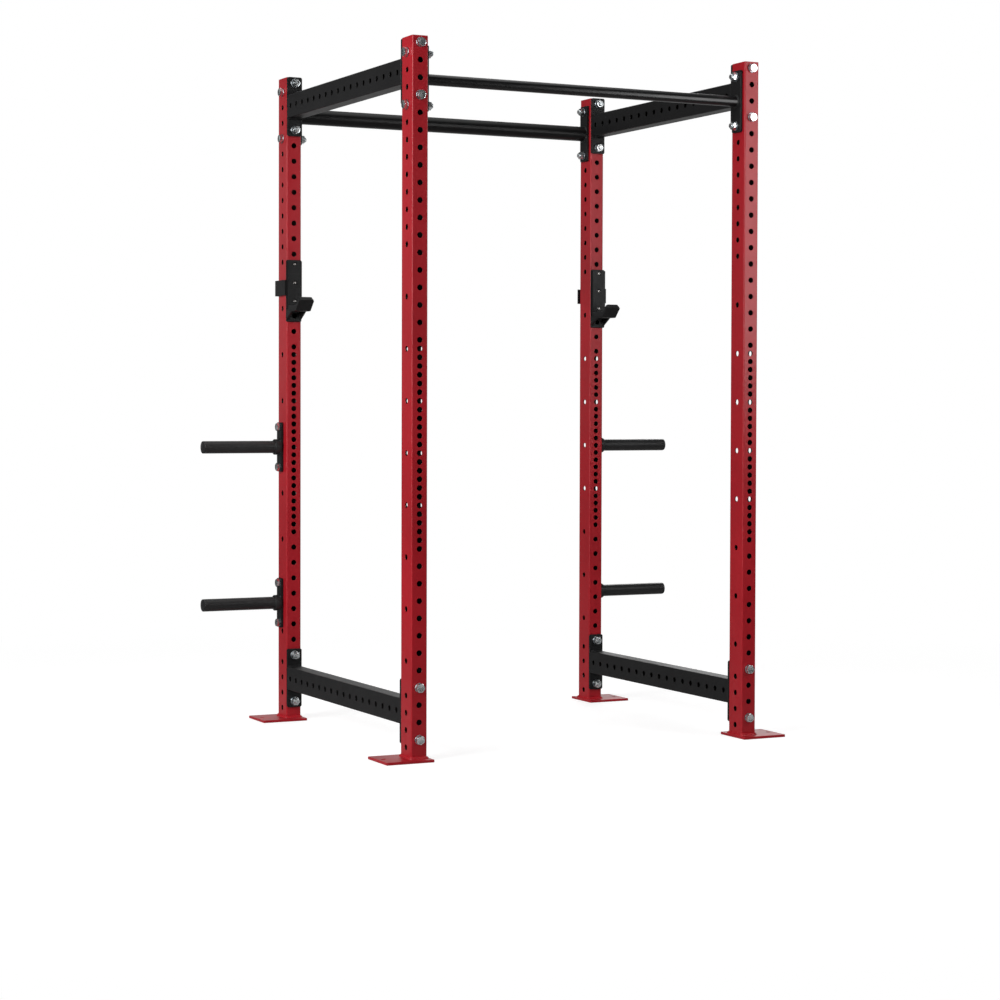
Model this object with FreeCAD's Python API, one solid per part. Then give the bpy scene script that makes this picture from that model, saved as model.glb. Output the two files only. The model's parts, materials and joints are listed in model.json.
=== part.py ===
import FreeCAD, Part
import math
import os

# Power cage, millimetres. X is the width, -Y the front, Z up.
# The origin is on the floor at the middle of the four uprights.

# Uprights: 2 x 3 inch class steel tube
TUBE_W = 50.0
TUBE_D = 75.0
WALL = 3.0
CORNER_R = 4.0
INSIDE_WIDTH = 1066.8
INSIDE_DEPTH = 914.4
HEIGHT = 2083.0
UPRIGHT_X = (INSIDE_WIDTH + TUBE_W) / 2
UPRIGHT_Y = (INSIDE_DEPTH + TUBE_D) / 2

# Hole ladders, counted in half pitches above the lowest hole of each face
STEP = 25.0
HOLE_R = 8.5
FACE_HOLE_Z = 63.0
SIDE_HOLE_Z = 38.0
FACE_HOLES = list(range(0, 22, 2)) + list(range(22, 47)) + list(range(48, 81, 2))
SIDE_HOLES = [0, 2, 4, 6, 10, 16, 22, 28, 34, 40, 46, 52] + list(range(58, 81, 2))
BOLTED_PAIR = (0, 6)
UPPER_PAIR = (74, 80)

# Foot plates
FOOT_T = 8.0
FOOT_DEPTH = 140.0
FOOT_OUT = 90.0
FOOT_IN = 10.0
ANCHOR_R = 7.0
ANCHOR_EDGE = 20.0
FOOT_CORNER_R = 3.0

# Bolted end plates of the side rails and pull-up bars
PLATE_W = 50.0
PLATE_H = 190.0
PLATE_T = 8.0
PLATE_CORNER_R = 6.0
RAIL_HOLES = 18

# Pull-up bars
FRONT_BAR_R = 16.0
REAR_BAR_R = 25.0

# Structural fasteners, M16
BOLT_R = 8.0
HEX_AF = 24.0
HEAD_H = 10.0
NUT_H = 13.0
NUT_BORE_R = 8.1
WASHER_R = 14.0
WASHER_BORE_R = 8.4
WASHER_T = 3.0
BOLT_END = 6.0
CHAMFER_INSET = 0.4

# Plate storage pegs
PEG_R = 20.0
PEG_WALL = 3.0
PEG_LENGTH = 247.0
PEG_Z = (380.0, 888.0)
PEG_OFFSET_Y = 10.0
PEG_COLLAR_R = 25.5
PEG_COLLAR_T = 17.0
PEG_PLATE_W = 40.0
PEG_PLATE_H = 160.0
PEG_BOLT_SPACING = 130.0
PEG_BOLT_REACH = PLATE_T + WALL + NUT_H
CAP_LIP = 2.0
CAP_R = 19.6
CAP_DOME = 3.0
CAP_PLUG = 20.0
CAP_SKIN = 3.0
# The lower peg's weld nut takes the place of this hole on the outer wall
SKIPPED_SIDE_HOLE = 16

# J-cups: x measured outward and y rearward on the right-hand cup
CUP_GAP = 0.2
CUP_X = (534.4, 586.4)
CUP_T = 6.0
CUP_Z = (1294.0, 1494.0)
CUP_CORNER_R = 5.0
CUP_PIN_R = 8.0
CUP_PIN_REACH = 9.5
CUP_PIN_HOLE = 50
LINER_X = (536.4, 584.4)
LINER_T = 9.0
LINER_TOP = 1490.0
LINER_EDGE_R = 2.0
SCREW_Z = (1360.0, 1420.0, 1480.0)
SCREW_R = 3.0
SCREW_HEAD_R = 6.0
SCREW_HEAD_H = 3.5
SCREW_SINK_R = 6.6
SCREW_SINK = 4.5
SCREW_HOLE_R = 3.1
FLOOR_Z = (1326.0, 1334.0)
PAD_TOP = 1346.0
PAD_GAP = 0.5
LIP_FOOT_Y = 372.0
LIP_TOP = (337.5, 1360.5)
LIP_T = 7.0
LIP_PAD_T = 7.0
LIP_CORNER_R = 8.0
GUSSET_T = 6.0
GUSSET_Y = 409.0
GUSSET_Z = 1302.0
STRAP_Z = (1379.0, 1429.0)
STRAP_T = 6.0
STRAP_BEHIND = 7.0
STRAP_IN_X = 531.0
STRAP_BEND_R = 3.0

FRONT_FACE_Y = UPRIGHT_Y - TUBE_D / 2
REAR_FACE_Y = UPRIGHT_Y + TUBE_D / 2
INNER_FACE_X = UPRIGHT_X - TUBE_W / 2
OUTER_FACE_X = UPRIGHT_X + TUBE_W / 2
UPPER_RAIL_Z = FACE_HOLE_Z + STEP * sum(UPPER_PAIR) / 2
LOWER_RAIL_Z = FACE_HOLE_Z + STEP * sum(BOLTED_PAIR) / 2
BAR_Z = SIDE_HOLE_Z + STEP * sum(UPPER_PAIR) / 2

V = FreeCAD.Vector
X_AXIS = V(1, 0, 0)
Y_AXIS = V(0, 1, 0)
Z_AXIS = V(0, 0, 1)
SIDES = {"left": -1, "right": 1}
ENDS = {"front": -1, "rear": 1}


def box(x, y, z):
    """A block between two x, two y and two z values."""
    corner = V(min(x), min(y), min(z))
    return Part.makeBox(abs(x[1] - x[0]), abs(y[1] - y[0]), abs(z[1] - z[0]), corner)


def rounded(shape, radius, axis):
    """The shape with its straight edges along one axis rounded."""
    edges = []
    for edge in shape.Edges:
        ends = edge.Vertexes
        run = ends[-1].Point - ends[0].Point
        if run.Length > 0 and abs(run.normalize().dot(axis)) > 0.999:
            edges.append(edge)
    return shape.makeFillet(radius, edges)


def rod(radius, length, start, direction):
    return Part.makeCylinder(radius, length, start, direction)


def ring(outer_r, inner_r, length, start, direction):
    return rod(outer_r, length, start, direction).cut(rod(inner_r, length, start, direction))


def hexagon(flats, height, start, direction):
    """A hexagonal prism whose far face has the usual 30 degree corner chamfer."""
    corner_r = flats / math.sqrt(3)
    points = [V(corner_r * math.cos(math.radians(60 * i)), corner_r * math.sin(math.radians(60 * i)), 0)
              for i in range(7)]
    prism = Part.Face(Part.makePolygon(points)).extrude(V(0, 0, height))
    face_r = flats / 2 - CHAMFER_INSET
    shape = prism.common(Part.makeCone(face_r + height * math.sqrt(3), face_r, height))
    shape.Placement = FreeCAD.Placement(start, FreeCAD.Rotation(Z_AXIS, direction))
    return shape


def profile(points, x):
    """A flat (y, z) outline swept between two x values."""
    wire = [V(min(x), y, z) for y, z in points]
    face = Part.Face(Part.makePolygon(wire + wire[:1]))
    return face.extrude(V(abs(x[1] - x[0]), 0, 0))


def tube(width, depth, length, base):
    """An upright rectangular tube with rounded corners."""
    cx, cy = width / 2, depth / 2
    outer = rounded(box((-cx, cx), (-cy, cy), (0, length)), CORNER_R, Z_AXIS)
    inner = rounded(box((WALL - cx, cx - WALL), (WALL - cy, cy - WALL), (0, length)),
                    CORNER_R - WALL, Z_AXIS)
    shape = outer.cut(inner)
    shape.translate(base)
    return shape


def drilled(shape, cutters):
    return shape.cut(Part.makeCompound(cutters))


def save(name, *solids):
    """Write one named node, as separate solids."""
    found = [s for shape in solids for s in shape.Solids]
    result = found[0] if len(found) == 1 else Part.makeCompound(found)
    result.exportStep(os.path.join("parts", name + ".step"))


def peg_y():
    return UPRIGHT_Y + PEG_OFFSET_Y


def peg_bolt_heights():
    half = PEG_BOLT_SPACING / 2
    return [z + s * half for z in PEG_Z for s in (-1, 1)]


def upright(side, end):
    x, y = side * UPRIGHT_X, end * UPRIGHT_Y
    shape = tube(TUBE_W, TUBE_D, HEIGHT - FOOT_T, V(x, y, FOOT_T))
    cutters = []
    for n in FACE_HOLES:
        cutters.append(rod(HOLE_R, TUBE_D + 10, V(x, y - TUBE_D / 2 - 5, FACE_HOLE_Z + n * STEP), Y_AXIS))
    for n in SIDE_HOLES:
        z = SIDE_HOLE_Z + n * STEP
        if end > 0 and n == SKIPPED_SIDE_HOLE:
            start, length = V(side * (INNER_FACE_X - 5), y, z), TUBE_W / 2
        else:
            start, length = V(side * (INNER_FACE_X - 5), y, z), TUBE_W + 10
        cutters.append(rod(HOLE_R, length, start, X_AXIS * side))
    if end > 0:
        for z in peg_bolt_heights():
            cutters.append(rod(HOLE_R, WALL + 4, V(side * (OUTER_FACE_X - WALL - 2), peg_y(), z),
                               X_AXIS * side))
    return drilled(shape, cutters)


def foot(side, end):
    x = (side * (INNER_FACE_X - FOOT_IN), side * (OUTER_FACE_X + FOOT_OUT))
    y = (end * UPRIGHT_Y - FOOT_DEPTH / 2, end * UPRIGHT_Y + FOOT_DEPTH / 2)
    plate = rounded(box(x, y, (0, FOOT_T)), FOOT_CORNER_R, Z_AXIS)
    anchor_x = side * (OUTER_FACE_X + FOOT_OUT - ANCHOR_EDGE)
    return plate.cut(rod(ANCHOR_R, FOOT_T, V(anchor_x, end * UPRIGHT_Y, 0), Z_AXIS))


def side_rail(side, z):
    """A tube running front to rear between its two end plates."""
    length = INSIDE_DEPTH - 2 * PLATE_T
    rail = tube(TUBE_W, TUBE_D, length, V(0, 0, 0))
    rail.rotate(V(0, 0, 0), X_AXIS, -90)
    rail.translate(V(side * UPRIGHT_X, -length / 2, z))
    cutters = []
    for i in range(RAIL_HOLES):
        y = (i - (RAIL_HOLES - 1) / 2) * 2 * STEP
        cutters.append(rod(HOLE_R, TUBE_W + 10, V(side * UPRIGHT_X - TUBE_W / 2 - 5, y, z), X_AXIS))
    return drilled(rail, cutters)


def rail_plate(side, end, z):
    x = (side * UPRIGHT_X - PLATE_W / 2, side * UPRIGHT_X + PLATE_W / 2)
    y = (end * FRONT_FACE_Y, end * (FRONT_FACE_Y - PLATE_T))
    plate = rounded(box(x, y, (z - PLATE_H / 2, z + PLATE_H / 2)), PLATE_CORNER_R, Y_AXIS)
    start_y = end * (FRONT_FACE_Y - PLATE_T - 5)
    cutters = [rod(HOLE_R, PLATE_T + 10, V(side * UPRIGHT_X, start_y, z + s * 3 * STEP), Y_AXIS * end)
               for s in (-1, 1)]
    return drilled(plate, cutters)


def pullup_plate(side, end):
    x = (side * INNER_FACE_X, side * (INNER_FACE_X - PLATE_T))
    y = (end * UPRIGHT_Y - PLATE_W / 2, end * UPRIGHT_Y + PLATE_W / 2)
    plate = rounded(box(x, y, (BAR_Z - PLATE_H / 2, BAR_Z + PLATE_H / 2)), PLATE_CORNER_R, X_AXIS)
    start_x = side * (INNER_FACE_X - PLATE_T - 5)
    cutters = [rod(HOLE_R, PLATE_T + 10, V(start_x, end * UPRIGHT_Y, BAR_Z + s * 3 * STEP), X_AXIS * side)
               for s in (-1, 1)]
    return drilled(plate, cutters)


def pullup_bar(end, radius):
    half = INNER_FACE_X - PLATE_T
    return ring(radius, radius - WALL, 2 * half, V(-half, end * UPRIGHT_Y, BAR_Z), X_AXIS)


def fastener(point, outward, stack):
    """Bolt, two washers and nut: head at the point, shank running inward through the stack."""
    inward = outward * -1
    head = hexagon(HEX_AF, HEAD_H, point + outward * WASHER_T, outward)
    shank = rod(BOLT_R, stack + 2 * WASHER_T + NUT_H + BOLT_END, point + outward * WASHER_T, inward)
    far = point + inward * stack
    washers = [ring(WASHER_R, WASHER_BORE_R, WASHER_T, point, outward),
               ring(WASHER_R, WASHER_BORE_R, WASHER_T, far, inward)]
    nut_start = far + inward * WASHER_T
    nut = hexagon(HEX_AF, NUT_H, nut_start, inward).cut(rod(NUT_BORE_R, NUT_H, nut_start, inward))
    return head.fuse(shank), washers, nut


def frame_fasteners():
    bolts, washers, nuts = [], [], []
    spots = []
    for side in SIDES.values():
        for end in ENDS.values():
            for z in (UPPER_RAIL_Z, LOWER_RAIL_Z):
                for s in (-1, 1):
                    spots.append((V(side * UPRIGHT_X, end * REAR_FACE_Y, z + s * 3 * STEP),
                                  Y_AXIS * end, TUBE_D + PLATE_T))
            for s in (-1, 1):
                spots.append((V(side * OUTER_FACE_X, end * UPRIGHT_Y, BAR_Z + s * 3 * STEP),
                              X_AXIS * side, TUBE_W + PLATE_T))
    for point, outward, stack in spots:
        bolt, pair, nut = fastener(point, outward, stack)
        bolts.append(bolt)
        washers += pair
        nuts.append(nut)
    return bolts, washers, nuts


def peg_plate(side, z):
    x = (side * OUTER_FACE_X, side * (OUTER_FACE_X + PLATE_T))
    y = (peg_y() - PEG_PLATE_W / 2, peg_y() + PEG_PLATE_W / 2)
    plate = rounded(box(x, y, (z - PEG_PLATE_H / 2, z + PEG_PLATE_H / 2)), PLATE_CORNER_R, X_AXIS)
    cutters = [rod(HOLE_R, PLATE_T + 10, V(side * (OUTER_FACE_X - 5), peg_y(), z + s * PEG_BOLT_SPACING / 2),
                   X_AXIS * side) for s in (-1, 1)]
    return drilled(plate, cutters)


def peg_start(side, z):
    return V(side * (OUTER_FACE_X + PLATE_T), peg_y(), z)


def peg_tube(side, z):
    length = PEG_LENGTH - CAP_LIP - CAP_DOME
    start = peg_start(side, z) + X_AXIS * side * PEG_COLLAR_T
    return ring(PEG_R, PEG_R - PEG_WALL, length, start, X_AXIS * side)


def peg_collar(side, z):
    return rod(PEG_COLLAR_R, PEG_COLLAR_T, peg_start(side, z), X_AXIS * side)


def peg_cap(side, z):
    """A domed plug: a hollow skirt in the tube and a lip over its end."""
    out = X_AXIS * side
    rim = peg_start(side, z) + out * (PEG_COLLAR_T + PEG_LENGTH - CAP_LIP - CAP_DOME)
    skirt_r = PEG_R - PEG_WALL
    skirt = ring(skirt_r, skirt_r - CAP_SKIN, CAP_PLUG, rim - out * CAP_PLUG, out)
    lip = rod(CAP_R, CAP_LIP, rim, out)
    dome_r = (CAP_R ** 2 + CAP_DOME ** 2) / (2 * CAP_DOME)
    centre = rim + out * (CAP_LIP + CAP_DOME - dome_r)
    dome = Part.makeSphere(dome_r, centre).common(rod(CAP_R, CAP_DOME + 1, rim + out * CAP_LIP, out))
    return skirt.fuse([lip, dome]).removeSplitter()


def peg_bolt_seat(side, z):
    return V(side * (OUTER_FACE_X + PLATE_T), peg_y(), z)


def peg_bolt(side, z):
    out = X_AXIS * side
    seat = peg_bolt_seat(side, z)
    return hexagon(HEX_AF, HEAD_H, seat, out).fuse(rod(BOLT_R, PEG_BOLT_REACH, seat, out * -1))


def peg_weld_nut(side, z):
    inward = X_AXIS * -side
    start = V(side * (OUTER_FACE_X - WALL), peg_y(), z)
    return hexagon(HEX_AF, NUT_H, start, inward).cut(rod(NUT_BORE_R, NUT_H, start, inward))


CUP_BACK_Y = FRONT_FACE_Y - CUP_GAP
CUP_FRONT_Y = CUP_BACK_Y - CUP_T
LINER_FRONT_Y = CUP_FRONT_Y - LINER_T
CUP_MID_X = sum(CUP_X) / 2
PIN_Z = FACE_HOLE_Z + STEP * CUP_PIN_HOLE


def sided(pair, side):
    return tuple(side * x for x in pair)


def cup_plate(side):
    plate = rounded(box(sided(CUP_X, side), (CUP_FRONT_Y, CUP_BACK_Y), CUP_Z), CUP_CORNER_R, Y_AXIS)
    cutters = [rod(SCREW_HOLE_R, CUP_T, V(side * CUP_MID_X, CUP_FRONT_Y, z), Y_AXIS) for z in SCREW_Z]
    cutters.append(rod(CUP_PIN_R, CUP_T, V(side * UPRIGHT_X, CUP_FRONT_Y, PIN_Z), Y_AXIS))
    return drilled(plate, cutters)


def cup_pin(side):
    length = CUP_T + CUP_GAP + CUP_PIN_REACH
    pin = rod(CUP_PIN_R, length, V(side * UPRIGHT_X, CUP_FRONT_Y, PIN_Z), Y_AXIS)
    tip = [e for e in pin.Edges if e.BoundBox.YLength < 0.01 and e.BoundBox.YMax > CUP_BACK_Y]
    return pin.makeChamfer(1.0, tip)


def cup_back_liner(side):
    block = box(sided(LINER_X, side), (LINER_FRONT_Y, CUP_FRONT_Y), (FLOOR_Z[1], LINER_TOP))
    block = rounded(block, LINER_EDGE_R, Y_AXIS)
    cutters = []
    for z in SCREW_Z:
        cutters.append(rod(SCREW_SINK_R, SCREW_SINK, V(side * CUP_MID_X, LINER_FRONT_Y, z), Y_AXIS))
        cutters.append(rod(SCREW_HOLE_R, LINER_T, V(side * CUP_MID_X, LINER_FRONT_Y, z), Y_AXIS))
    return drilled(block, cutters)


def cup_screw(side, z):
    seat_y = LINER_FRONT_Y + SCREW_SINK
    head = rod(SCREW_HEAD_R, SCREW_HEAD_H, V(side * CUP_MID_X, seat_y - SCREW_HEAD_H, z), Y_AXIS)
    rim = [e for e in head.Edges if e.BoundBox.YLength < 0.01 and e.BoundBox.YMax < seat_y - 1]
    head = head.makeFillet(1.5, rim)
    socket = hexagon(4.0, 2.0, V(side * CUP_MID_X, seat_y - SCREW_HEAD_H, z), Y_AXIS)
    shank = rod(SCREW_R, CUP_BACK_Y - seat_y - 0.5, V(side * CUP_MID_X, seat_y, z), Y_AXIS)
    return head.cut(socket).fuse(shank)


def lip_frame():
    """Unit vector up the lip and unit normal into the cradle, as (y, z) pairs."""
    dy, dz = LIP_TOP[0] - LIP_FOOT_Y, LIP_TOP[1] - FLOOR_Z[0]
    size = math.hypot(dy, dz)
    return (dy / size, dz / size), (dz / size, -dy / size)


def lip_line(depth, z):
    """Point at one height on the plane this far inside the lip's outer face."""
    up, into = lip_frame()
    y0, z0 = LIP_TOP[0] + into[0] * depth, LIP_TOP[1] + into[1] * depth
    t = (z - z0) / up[1]
    return (y0 + up[0] * t, z)


def lip_top(depth):
    up, into = lip_frame()
    return (LIP_TOP[0] + into[0] * depth, LIP_TOP[1] + into[1] * depth)


def lip_rounded(shape):
    """Round the two corners at the free end of the lip."""
    up, into = lip_frame()
    top = max(v.Z for v in shape.Vertexes)
    edges = []
    for edge in shape.Edges:
        ends = [v.Point for v in edge.Vertexes]
        run = ends[-1] - ends[0]
        if run.Length == 0:
            continue
        along = abs(run.y * into[0] + run.z * into[1]) / run.Length
        if along > 0.99 and max(p.z for p in ends) > top - 0.01:
            edges.append(edge)
    return shape.makeFillet(LIP_CORNER_R, edges)


def cup_hook(side):
    """Floor and outward-leaning lip bent from one plate."""
    points = [(CUP_FRONT_Y, FLOOR_Z[0]), (LIP_FOOT_Y, FLOOR_Z[0]), lip_top(0), lip_top(LIP_T),
              lip_line(LIP_T, FLOOR_Z[1]), (CUP_FRONT_Y, FLOOR_Z[1])]
    return lip_rounded(profile(points, sided(CUP_X, side)))


def cup_hook_liner(side):
    """Moulded pad over the floor and up the inside of the lip."""
    depth = LIP_T + LIP_PAD_T
    back_y = LINER_FRONT_Y - PAD_GAP
    points = [(back_y, FLOOR_Z[1]), lip_line(LIP_T, FLOOR_Z[1]), lip_top(LIP_T), lip_top(depth),
              lip_line(depth, PAD_TOP), (back_y, PAD_TOP)]
    return lip_rounded(profile(points, sided(LINER_X, side)))


def cup_gussets(side):
    points = [(CUP_FRONT_Y, FLOOR_Z[0]), (GUSSET_Y, FLOOR_Z[0]), (CUP_FRONT_Y, GUSSET_Z)]
    inner = (CUP_X[0], CUP_X[0] + GUSSET_T)
    outer = (CUP_X[1] - GUSSET_T, CUP_X[1])
    return [profile(points, sided(pair, side)) for pair in (inner, outer)]


def cup_strap(side):
    """Flat bar along the outer side of the upright and round behind it."""
    inner_x, outer_x = CUP_X[1], CUP_X[1] + STRAP_T
    near_y = REAR_FACE_Y + STRAP_BEHIND
    far_y = near_y + STRAP_T
    run = box((inner_x, outer_x), (CUP_FRONT_Y, far_y), STRAP_Z)
    back = box((STRAP_IN_X, outer_x), (near_y, far_y), STRAP_Z)
    bar = run.fuse(back).removeSplitter()
    corners = {(outer_x, far_y): STRAP_BEND_R + STRAP_T, (inner_x, near_y): STRAP_BEND_R}
    for (x, y), radius in corners.items():
        edge = [e for e in bar.Edges if e.BoundBox.ZLength > 1
                and abs(e.CenterOfMass.x - x) < 0.01 and abs(e.CenterOfMass.y - y) < 0.01]
        bar = bar.makeFillet(radius, edge)
    return bar if side > 0 else bar.mirror(V(0, 0, 0), X_AXIS)


def build():
    os.makedirs("parts", exist_ok=True)
    for end_name, end in ENDS.items():
        for side_name, side in SIDES.items():
            place = f"{end_name}_{side_name}"
            save(f"upright_{place}", upright(side, end))
            save(f"foot_plate_{place}", foot(side, end))
            save(f"pullup_plate_{place}", pullup_plate(side, end))
            save(f"upper_rail_plate_{place}", rail_plate(side, end, UPPER_RAIL_Z))
            save(f"lower_rail_plate_{place}", rail_plate(side, end, LOWER_RAIL_Z))
    for side_name, side in SIDES.items():
        save(f"upper_side_rail_{side_name}", side_rail(side, UPPER_RAIL_Z))
        save(f"lower_side_rail_{side_name}", side_rail(side, LOWER_RAIL_Z))
        for level, z in zip(("lower", "upper"), PEG_Z):
            save(f"{level}_peg_plate_{side_name}", peg_plate(side, z))
            save(f"{level}_peg_tube_{side_name}", peg_tube(side, z))
        cup = f"jcup_{side_name}"
        save(f"{cup}_face_plate", cup_plate(side))
        save(f"{cup}_locating_pin", cup_pin(side))
        save(f"{cup}_back_liner", cup_back_liner(side))
        save(f"{cup}_liner_screws", *[cup_screw(side, z) for z in SCREW_Z])
        save(f"{cup}_hook", cup_hook(side))
        save(f"{cup}_hook_liner", cup_hook_liner(side))
        save(f"{cup}_gussets", *cup_gussets(side))
        save(f"{cup}_strap", cup_strap(side))
    save("front_pullup_bar", pullup_bar(-1, FRONT_BAR_R))
    save("rear_pullup_bar", pullup_bar(1, REAR_BAR_R))
    pegs = [(side, z) for side in SIDES.values() for z in PEG_Z]
    peg_bolts = [(side, z) for side in SIDES.values() for z in peg_bolt_heights()]
    bolts, washers, nuts = frame_fasteners()
    save("frame_bolts", *bolts)
    save("washers", *washers)
    save("frame_nuts", *nuts)
    save("peg_collars", *[peg_collar(side, z) for side, z in pegs])
    save("peg_end_caps", *[peg_cap(side, z) for side, z in pegs])
    save("peg_bolts", *[peg_bolt(side, z) for side, z in peg_bolts])
    save("peg_weld_nuts", *[peg_weld_nut(side, z) for side, z in peg_bolts])


build()
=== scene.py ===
import json
import math

import bmesh
import bpy
import numpy as np
from mathutils import Matrix, Vector

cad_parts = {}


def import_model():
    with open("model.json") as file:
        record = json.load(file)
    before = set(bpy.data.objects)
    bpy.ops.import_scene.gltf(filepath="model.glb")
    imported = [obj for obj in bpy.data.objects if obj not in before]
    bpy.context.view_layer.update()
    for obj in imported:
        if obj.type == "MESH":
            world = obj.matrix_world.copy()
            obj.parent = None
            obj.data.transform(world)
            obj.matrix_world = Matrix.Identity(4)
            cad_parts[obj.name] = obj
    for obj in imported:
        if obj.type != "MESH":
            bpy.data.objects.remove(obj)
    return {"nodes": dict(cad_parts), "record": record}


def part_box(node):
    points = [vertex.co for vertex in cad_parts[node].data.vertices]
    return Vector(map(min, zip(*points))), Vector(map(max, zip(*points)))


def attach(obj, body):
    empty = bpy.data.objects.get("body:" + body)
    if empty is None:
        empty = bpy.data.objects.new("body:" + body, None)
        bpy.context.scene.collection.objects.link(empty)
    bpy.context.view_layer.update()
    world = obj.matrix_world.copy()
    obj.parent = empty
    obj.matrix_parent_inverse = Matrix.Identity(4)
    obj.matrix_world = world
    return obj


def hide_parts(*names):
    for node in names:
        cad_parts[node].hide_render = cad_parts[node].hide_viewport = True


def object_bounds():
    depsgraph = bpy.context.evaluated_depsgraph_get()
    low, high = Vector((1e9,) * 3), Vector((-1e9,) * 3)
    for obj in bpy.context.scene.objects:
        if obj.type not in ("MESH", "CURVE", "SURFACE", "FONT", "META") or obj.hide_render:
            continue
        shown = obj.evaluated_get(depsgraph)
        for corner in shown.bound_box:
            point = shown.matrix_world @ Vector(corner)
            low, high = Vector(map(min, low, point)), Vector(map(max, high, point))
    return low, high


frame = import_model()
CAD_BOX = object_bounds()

MM = 0.001
TAU = 2 * math.pi
QUARTER = TAU / 4
X, Y, Z = Vector((1, 0, 0)), Vector((0, 1, 0)), Vector((0, 0, 1))
SIDES = {"left": -1, "right": 1}
ENDS = {"front": -1, "rear": 1}
TIERS = ("upper", "lower")

# Tube section and the hole ladders, as drilled in the CAD. A ladder is a stack of cells, and the lists name the
# cells with a hole. The lower peg's weld nut takes the place of one hole in a rear upright's outer side.
WALL = 3 * MM
CORNER_R = 4 * MM
HOLE_R = 8.5 * MM
HOLE_CHAMFER = 0.3 * MM
END_LIP = 0.6 * MM
STEP = 25 * MM
FIRST_LEVEL = 25.5 * MM
LEVELS = 82
FACE_HOLES = list(range(0, 22, 2)) + list(range(22, 47)) + list(range(48, 81, 2))
SIDE_HOLES = [0, 2, 4, 6, 10, 16, 22, 28, 34, 40, 46, 52] + list(range(58, 81, 2))
CLOSED_SIDE_HOLE = 16
RAIL_HOLES = 18

# Plates
PLATE_CORNER_R = 6 * MM
PLATE_BEVEL = 0.8 * MM
BOLT_OFFSET = 3 * STEP
PEG_BOLT_OFFSET = 65 * MM
FOOT_CORNER_R = 3 * MM
FOOT_BEVEL = 1.2 * MM
ANCHOR_EDGE = 20 * MM
ANCHOR_R = 7 * MM

# M16 fasteners
HEX_FLATS = 24 * MM
HEX_FACE_R = HEX_FLATS / 2 - 0.4 * MM
HEX_SLOPE = math.tan(math.radians(30))
BOLT_HEAD = 10 * MM
BOLT_SHANK_R = 8 * MM
BOLT_THREADED = 12 * MM
BOLT_PITCH = 2 * MM
NUT_HEIGHT = 13 * MM
NUT_BORE_R = 8.1 * MM
WASHER_R = 14 * MM
WASHER_BORE_R = 8.4 * MM
WASHER_T = 3 * MM

# Pegs
COLLAR_R = 25.5 * MM
COLLAR_T = 17 * MM
COLLAR_BEVEL = 1.2 * MM
CAP_R = 19.6 * MM
CAP_LIP_T = 2 * MM
CAP_DOME = 2.9 * MM

# Barbell cups
CUP_PLATE_CORNER_R = 5 * MM
SCREW_HOLE_R = 3.1 * MM
SCREW_HEAD_R = 6 * MM
SCREW_HEAD_H = 3.5 * MM
SCREW_CROWN_R = 2.7 * MM
SCREW_SHANK_R = 3 * MM
SOCKET_FLATS = 4 * MM
SOCKET_DEPTH = 2 * MM
SINK_R = 6.6 * MM
SINK_DEPTH = 4.5 * MM
LIP_T = 7 * MM
LIP_CORNER_R = 8 * MM
HOOK_BEND_R = 9 * MM
INNER_BEND_R = 2 * MM
PAD_FLOOR_T = 12 * MM
PAD_BEND_R = 6 * MM
STRAP_T = 6 * MM
STRAP_OUTER_BEND_R = 9 * MM
STRAP_INNER_BEND_R = 3 * MM

# Mesh resolution and shading
CORNER_STEPS = 5
OUTLINE_STEPS = 6
HOLE_STEPS = 24
SLAB_HOLE_STEPS = 32
SMOOTH_ANGLE = math.radians(32)
WELD_ANGLE = math.radians(60)


# ---------------------------------------------------------------- materials

def connect(tree, made, **inputs):
    """Give a node's sockets, named with underscores for spaces, a value or a link each."""
    for name, value in inputs.items():
        socket = made.inputs[name.replace("_", " ")]
        if isinstance(value, bpy.types.NodeSocket):
            tree.links.new(value, socket)
        else:
            socket.default_value = value
    return made


def node(tree, kind, **inputs):
    return connect(tree, tree.nodes.new(kind), **inputs)


def ramp(tree, fac, stops):
    """Colour by a value, from stops of (place, colour)."""
    made = node(tree, "ShaderNodeValToRGB", Fac=fac)
    elements = made.color_ramp.elements
    while len(elements) < len(stops):
        elements.new(0.5)
    for element, (place, colour) in zip(elements, stops):
        element.position = place
        element.color = (*colour, 1)
    return made.outputs["Color"]


def spread(tree, value, low, high, first=0.0, last=1.0, smooth=False):
    """Map a value between first and last to one between low and high."""
    made = node(tree, "ShaderNodeMapRange", Value=value, From_Min=first, From_Max=last, To_Min=low, To_Max=high)
    if smooth:
        made.interpolation_type = "SMOOTHSTEP"
    return made.outputs["Result"]


def multiply_add(tree, value, factor, added):
    made = tree.nodes.new("ShaderNodeMath")
    made.operation = "MULTIPLY_ADD"
    tree.links.new(value, made.inputs[0])
    made.inputs[1].default_value = factor
    tree.links.new(added, made.inputs[2])
    return made.outputs[0]


def noise(tree, where, scale, detail=3.0, roughness=0.55):
    made = node(tree, "ShaderNodeTexNoise", Vector=where, Scale=scale, Detail=detail, Roughness=roughness)
    return made.outputs["Fac"]


def new_material(name):
    """A material with its node tree, its shader and its object coordinates in metres."""
    material = bpy.data.materials.new(name)
    material.use_nodes = True
    tree = material.node_tree
    where = tree.nodes.new("ShaderNodeTexCoord").outputs["Object"]
    return material, tree, tree.nodes["Principled BSDF"], where


def bump(tree, shader, layers):
    """Stack bump layers of (height socket, depth in metres, strength)."""
    last = None
    for height, depth, strength in layers:
        made = node(tree, "ShaderNodeBump", Height=height, Strength=strength, Distance=depth)
        if last is not None:
            tree.links.new(last, made.inputs["Normal"])
        last = made.outputs["Normal"]
    tree.links.new(last, shader.inputs["Normal"])


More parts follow.
